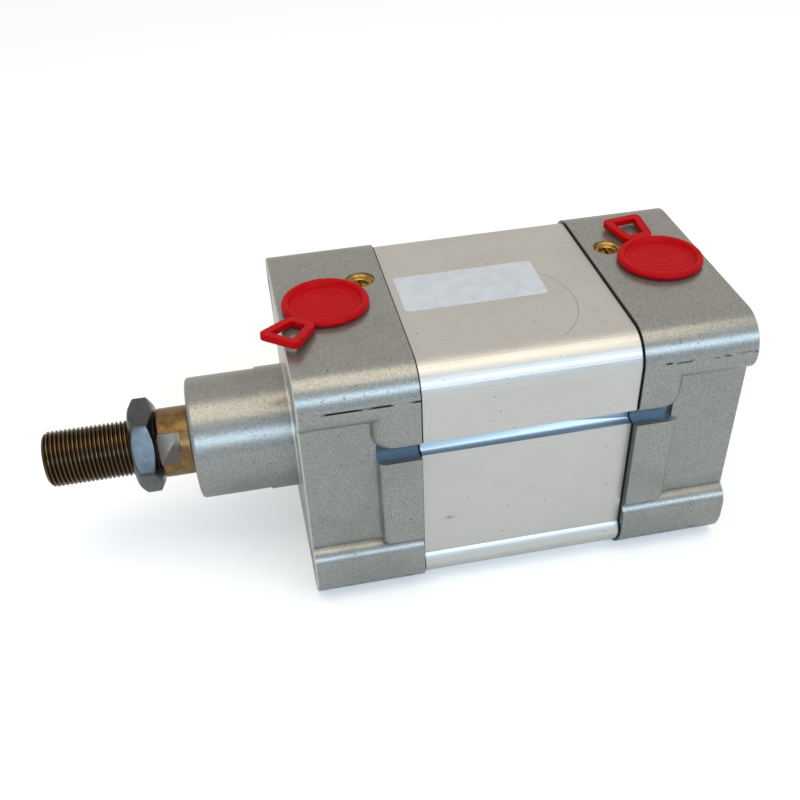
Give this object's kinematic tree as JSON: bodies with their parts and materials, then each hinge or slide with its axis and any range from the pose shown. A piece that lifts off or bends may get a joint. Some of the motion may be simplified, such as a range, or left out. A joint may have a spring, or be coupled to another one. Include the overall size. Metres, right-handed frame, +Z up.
{
  "type": "pneumatic cylinder",
  "caption": "Double-acting pneumatic cylinder with a square profile barrel, die-cast end caps, threaded rod, adjustable end cushioning and red dust plugs.",
  "frame": {"origin": "centre of the front cap's mounting face, on the rod's axis", "axes": "+X along the rod, the way it extends; +Z up, out of the air ports; +Y to the side that shows in the picture"},
  "size_m": [0.2406, 0.095, 0.0988],
  "materials": {
    "cap_paint": "silver-grey paint on die-cast aluminium",
    "barrel_anodised": "satin clear anodised extrusion",
    "screw_zinc": "zinc-plated steel",
    "bronze": "sintered bronze",
    "seal_rubber": "matt black",
    "brass": "turned brass",
    "guide_plastic": "filled low-friction plastic",
    "rod_steel": "steel with brown oil tarnish",
    "piston_aluminium": "turned aluminium",
    "magnet_plastic": "plastic-bonded magnet",
    "nut_zinc": "bright zinc-plated steel",
    "plug_red": "soft satin polyethylene"
  },
  "bodies": {
    "body": {"front_cap": "cap_paint", "rear_cap": "cap_paint", "barrel_tube": "barrel_anodised", "front_cap_screws": "screw_zinc", "rear_cap_screws": "screw_zinc", "rod_bearing": "bronze", "rod_seal": "seal_rubber", "front_tube_ring": "seal_rubber", "rear_tube_ring": "seal_rubber", "front_cushion_seal": "seal_rubber", "rear_cushion_seal": "seal_rubber", "front_cushion_bush": "brass", "rear_cushion_bush": "brass"},
    "piston_seals": {"piston_guide_ring": "guide_plastic", "piston_front_seal": "seal_rubber", "piston_rear_seal": "seal_rubber"},
    "rod": {"piston_rod": "rod_steel", "piston_front": "piston_aluminium", "piston_rear": "piston_aluminium", "piston_magnet": "magnet_plastic", "front_cushion_sleeve": "piston_aluminium", "rear_cushion_sleeve": "piston_aluminium", "piston_nut": "screw_zinc", "front_buffer": "seal_rubber", "rear_buffer": "seal_rubber"},
    "rod_nut": {"rod_nut": "nut_zinc"},
    "front_cushion_screw": {"front_cushion_screw": "brass", "front_cushion_screw_ring": "seal_rubber"},
    "rear_cushion_screw": {"rear_cushion_screw": "brass", "rear_cushion_screw_ring": "seal_rubber"},
    "front_port_plug": {"front_port_plug": "plug_red"},
    "rear_port_plug": {"rear_port_plug": "plug_red"}
  },
  "joints": [
    {"name": "rod_slide", "type": "slide", "parent": "body", "child": "piston_seals", "axis": [1, 0, 0], "range_m": [0, 0.025]},
    {"name": "rod_turn", "type": "hinge", "parent": "piston_seals", "child": "rod", "pos_m": [0, 0, 0], "axis": [1, 0, 0], "continuous": true},
    {"name": "rod_nut_turn", "type": "hinge", "parent": "rod", "child": "rod_nut", "pos_m": [0.0524, 0, 0], "axis": [1, 0, 0], "range_deg": [-72, 7000]},
    {"name": "front_cushion_screw_turn", "type": "hinge", "parent": "body", "child": "front_cushion_screw", "pos_m": [-0.031, -0.014, 0.04], "axis": [0, 0, 1], "range_deg": [-360, 720]},
    {"name": "rear_cushion_screw_turn", "type": "hinge", "parent": "body", "child": "rear_cushion_screw", "pos_m": [-0.122, -0.014, 0.04], "axis": [0, 0, 1], "range_deg": [-360, 720]},
    {"name": "front_plug_pull", "type": "slide", "parent": "body", "child": "front_port_plug", "axis": [0, 0, 1], "range_m": [0, 0.03]},
    {"name": "rear_plug_pull", "type": "slide", "parent": "body", "child": "rear_port_plug", "axis": [0, 0, 1], "range_m": [0, 0.03]}
  ]
}
